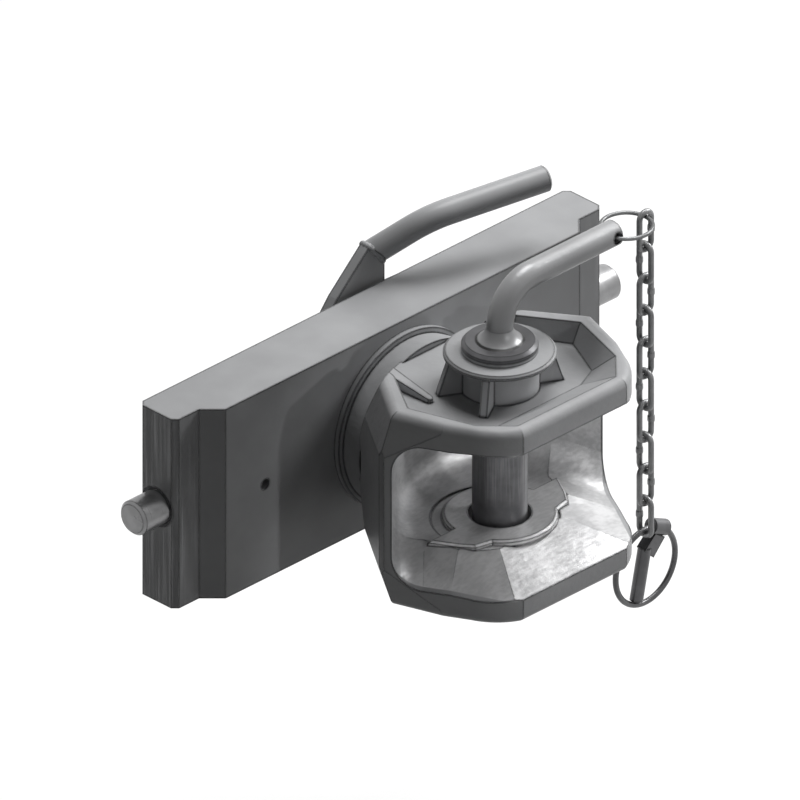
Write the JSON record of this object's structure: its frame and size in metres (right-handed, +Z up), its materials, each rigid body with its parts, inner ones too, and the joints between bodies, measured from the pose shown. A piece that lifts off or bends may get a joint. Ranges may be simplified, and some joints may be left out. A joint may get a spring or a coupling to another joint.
{
  "type": "tractor towing hitch",
  "caption": "Swivelling tractor towing hitch: height-adjustable carriage plate with sprung side bolts and release lever, flared jaw, towing pin, chain and linch pin.",
  "frame": {"origin": "centre of the carriage plate, where the locking bolts' axis crosses the jaw's swivel axis", "axes": "+X along the carriage plate, +Y towards the tractor, +Z up, along the guide rails the carriage slides in; the jaw opens towards -Y"},
  "size_m": [0.435, 0.2574, 0.2973],
  "materials": {
    "plate_paint": "satin grey paint on milled steel",
    "jaw_paint": "satin grey paint on a forging",
    "lever_paint": "satin grey paint",
    "pin_steel": "turned, worn bright",
    "dark_steel": "hardened and oiled",
    "zinc_steel": "zinc plated",
    "spring_steel": "drawn wire",
    "bronze": "bearing bronze"
  },
  "bodies": {
    "carriage": {"carriage_plate": "plate_paint", "shank_bush": "bronze", "lever_hub": "plate_paint", "hub_screws": "zinc_steel", "left_bolt_spring": "spring_steel", "right_bolt_spring": "spring_steel"},
    "jaw": {"jaw_casting": "jaw_paint", "pin_guide_bush": "dark_steel", "thrust_washer": "dark_steel", "brake_disc_springs": "spring_steel", "castle_nut": "zinc_steel", "nut_split_pin": "zinc_steel"},
    "pin_washer": {"pin_washer": "zinc_steel"},
    "towing_pin": {"towing_pin": "pin_steel", "pin_handle": "pin_steel"},
    "key_ring": {"key_ring": "zinc_steel"},
    "chain_link_01": {"chain_link_01": "zinc_steel"},
    "chain_link_02": {"chain_link_02": "zinc_steel"},
    "chain_link_03": {"chain_link_03": "zinc_steel"},
    "chain_link_04": {"chain_link_04": "zinc_steel"},
    "chain_link_05": {"chain_link_05": "zinc_steel"},
    "chain_link_06": {"chain_link_06": "zinc_steel"},
    "chain_link_07": {"chain_link_07": "zinc_steel"},
    "chain_link_08": {"chain_link_08": "zinc_steel"},
    "chain_link_09": {"chain_link_09": "zinc_steel"},
    "chain_link_10": {"chain_link_10": "zinc_steel"},
    "linch_ring": {"linch_ring": "spring_steel"},
    "linch_pin": {"linch_pin": "zinc_steel"},
    "release_lever": {"lever_plate": "lever_paint", "lever_handle": "lever_paint", "rocker_pins": "zinc_steel", "rocker_clips": "spring_steel"},
    "left_link": {"left_bolt_link": "lever_paint"},
    "left_bolt": {"left_locking_bolt": "pin_steel", "left_drive_pin": "zinc_steel", "left_drive_clip": "spring_steel"},
    "right_link": {"right_bolt_link": "lever_paint"},
    "right_bolt": {"right_locking_bolt": "pin_steel", "right_drive_pin": "zinc_steel", "right_drive_clip": "spring_steel"}
  },
  "joints": [
    {"name": "jaw_swivel", "type": "hinge", "parent": "carriage", "child": "jaw", "pos_m": [0, 0, 0], "axis": [0, 1, 0], "continuous": true},
    {"name": "pin_lift", "type": "slide", "parent": "jaw", "child": "pin_washer", "axis": [0, 0, 1], "range_m": [0, 0.19]},
    {"name": "pin_turn", "type": "hinge", "parent": "pin_washer", "child": "towing_pin", "pos_m": [0, -0.1174, 0.0881], "axis": [0, 0, 1], "range_deg": [-200, 20]},
    {"name": "ring_swing", "type": "hinge", "parent": "towing_pin", "child": "key_ring", "pos_m": [0.0996, -0.1174, 0.13], "axis": [0, -1, 0], "range_deg": [-3, 80]},
    {"name": "chain_hinge_01", "type": "hinge", "parent": "key_ring", "child": "chain_link_01", "pos_m": [0.1324, -0.1174, 0.13], "axis": [0, -1, 0], "range_deg": [-2.5, 20]},
    {"name": "chain_hinge_02", "type": "hinge", "parent": "chain_link_01", "child": "chain_link_02", "pos_m": [0.1324, -0.1174, 0.1058], "axis": [-1, 0, 0], "range_deg": [-12, 20]},
    {"name": "chain_hinge_03", "type": "hinge", "parent": "chain_link_02", "child": "chain_link_03", "pos_m": [0.1324, -0.1174, 0.0822], "axis": [0, -1, 0], "range_deg": [-2.5, 20]},
    {"name": "chain_hinge_04", "type": "hinge", "parent": "chain_link_03", "child": "chain_link_04", "pos_m": [0.1324, -0.1174, 0.0586], "axis": [-1, 0, 0], "range_deg": [-12, 20]},
    {"name": "chain_hinge_05", "type": "hinge", "parent": "chain_link_04", "child": "chain_link_05", "pos_m": [0.1324, -0.1174, 0.035], "axis": [0, -1, 0], "range_deg": [-2.5, 20]},
    {"name": "chain_hinge_06", "type": "hinge", "parent": "chain_link_05", "child": "chain_link_06", "pos_m": [0.1324, -0.1174, 0.0114], "axis": [-1, 0, 0], "range_deg": [-12, 20]},
    {"name": "chain_hinge_07", "type": "hinge", "parent": "chain_link_06", "child": "chain_link_07", "pos_m": [0.1324, -0.1174, -0.0122], "axis": [0, -1, 0], "range_deg": [-2.5, 20]},
    {"name": "chain_hinge_08", "type": "hinge", "parent": "chain_link_07", "child": "chain_link_08", "pos_m": [0.1324, -0.1174, -0.0358], "axis": [-1, 0, 0], "range_deg": [-12, 20]},
    {"name": "chain_hinge_09", "type": "hinge", "parent": "chain_link_08", "child": "chain_link_09", "pos_m": [0.1324, -0.1174, -0.0594], "axis": [0, -1, 0], "range_deg": [-2.5, 20]},
    {"name": "chain_hinge_10", "type": "hinge", "parent": "chain_link_09", "child": "chain_link_10", "pos_m": [0.1324, -0.1174, -0.083], "axis": [-1, 0, 0], "range_deg": [-12, 20]},
    {"name": "linch_ring_swing", "type": "hinge", "parent": "chain_link_10", "child": "linch_ring", "pos_m": [0.1324, -0.1174, -0.1066], "axis": [0, -1, 0], "range_deg": [-20, 20]},
    {"name": "linch_pin_turn", "type": "hinge", "parent": "linch_ring", "child": "linch_pin", "pos_m": [0.14381, -0.1174, -0.10508], "axis": [0.9063, 0, -0.4226], "range_deg": [-30, 30]},
    {"name": "lever_turn", "type": "hinge", "parent": "carriage", "child": "release_lever", "pos_m": [0, 0.026, 0], "axis": [0, 1, 0], "range_deg": [-28, 0], "stiffness_Nm_per_rad": 4, "springref_deg": 20.05},
    {"name": "right_bolt_slide", "type": "slide", "parent": "carriage", "child": "right_bolt", "axis": [1, 0, 0], "range_m": [-0.0243, 0], "deforming": ["right_bolt_spring"]},
    {"name": "right_link_turn", "type": "hinge", "parent": "release_lever", "child": "right_link", "pos_m": [0.0121, 0.0336, 0.04852], "axis": [0, 1, 0], "range_deg": [0, 28.1]},
    {"name": "left_bolt_slide", "type": "slide", "parent": "carriage", "child": "left_bolt", "axis": [-1, 0, 0], "range_m": [-0.0243, 0], "deforming": ["left_bolt_spring"]},
    {"name": "left_link_turn", "type": "hinge", "parent": "release_lever", "child": "left_link", "pos_m": [-0.0121, 0.0336, -0.04852], "axis": [0, 1, 0], "range_deg": [0, 28.1]}
  ],
  "couplings": [
    {"joint": "right_bolt_slide", "follows": "lever_turn", "m_per_rad": 0.049504},
    {"joint": "right_link_turn", "follows": "lever_turn", "ratio": -1},
    {"joint": "left_bolt_slide", "follows": "lever_turn", "m_per_rad": 0.049504},
    {"joint": "left_link_turn", "follows": "lever_turn", "ratio": -1}
  ]
}
